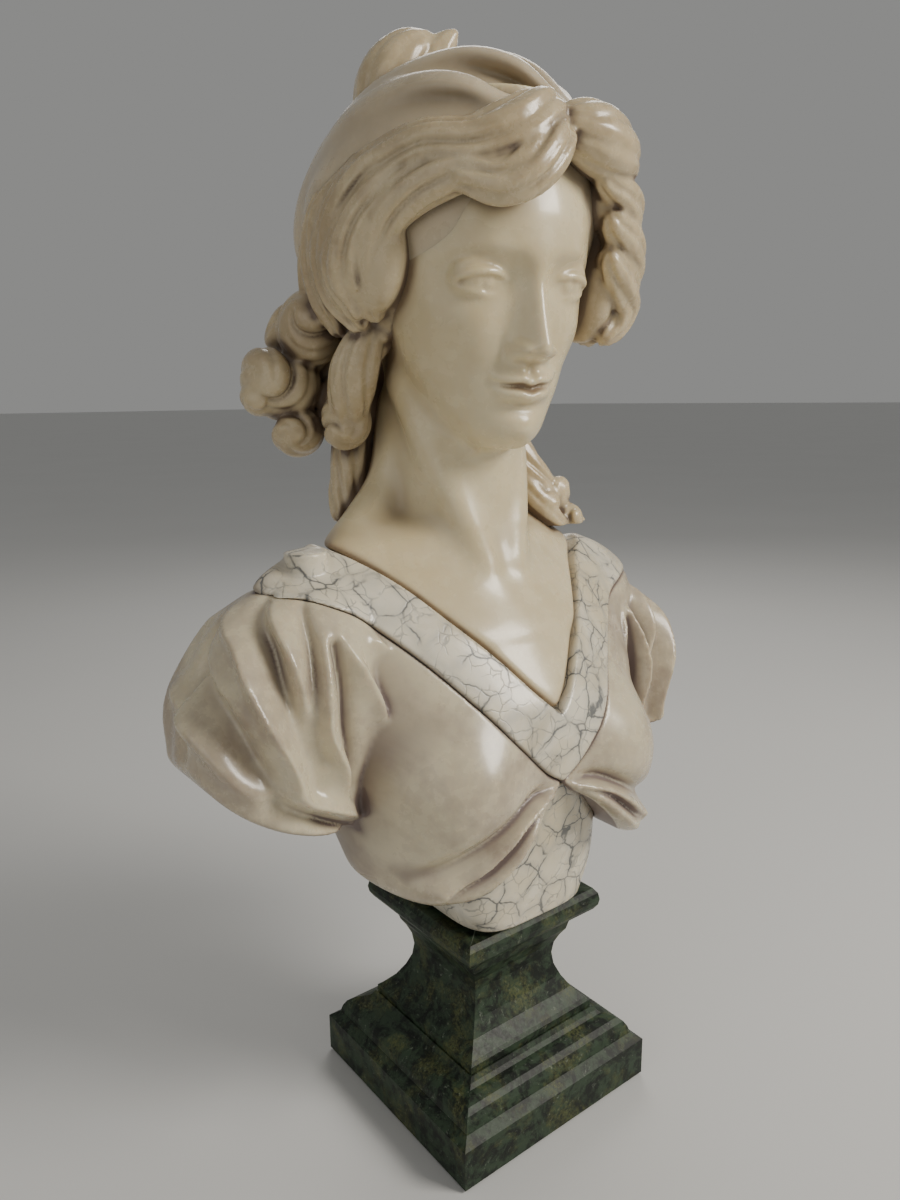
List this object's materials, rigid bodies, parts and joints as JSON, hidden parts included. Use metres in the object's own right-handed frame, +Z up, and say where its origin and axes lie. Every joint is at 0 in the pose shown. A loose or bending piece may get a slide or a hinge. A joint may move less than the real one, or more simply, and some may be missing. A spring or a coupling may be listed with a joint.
{
  "type": "marble bust",
  "caption": "Bust of a young figure with kerchief, curls, puff sleeves and veined shawl collar, turning on a square moulded socle of dark green stone.",
  "frame": {"origin": "middle of the underside of the baize under the socle, where the bust stands", "axes": "+Z up the centre rod, -Y the way the figure looks, +X to the figure's own left"},
  "size_m": [0.354, 0.1987, 0.6054],
  "materials": {
    "honey_stone": "polished honey alabaster, darker in the recesses",
    "grey_stone": "polished grey-beige alabaster",
    "veined_stone": "polished white stone with dark branching veins",
    "green_stone": "polished dark green serpentine, mottled",
    "iron": "plain iron, lightly oiled",
    "lead": "cast lead, dull",
    "brass": "drawn brass wire",
    "leather": "thin dark leather",
    "baize": "green baize"
  },
  "bodies": {
    "socle": {"base_felt": "baize", "socle_plinth": "green_stone", "socle_step": "green_stone", "socle_neck": "green_stone", "turning_disc": "leather", "rod_washer": "iron"},
    "bust": {"rod_nut": "iron", "centre_rod": "iron", "rod_anchor": "lead", "waist_block": "veined_stone", "collar": "veined_stone", "head_and_chest": "honey_stone", "bodice_right": "grey_stone", "bodice_left": "grey_stone", "waist_dowel_right": "iron", "waist_dowel_left": "iron", "bodice_dowel_right_front": "iron", "bodice_dowel_right_back": "iron", "bodice_dowel_left_front": "iron", "bodice_dowel_left_back": "iron", "collar_pin_right": "brass", "collar_pin_left": "brass"}
  },
  "joints": [
    {"name": "bust_turn", "type": "hinge", "parent": "socle", "child": "bust", "pos_m": [0, 0, 0.1277], "axis": [0, 0, 1], "continuous": true}
  ]
}
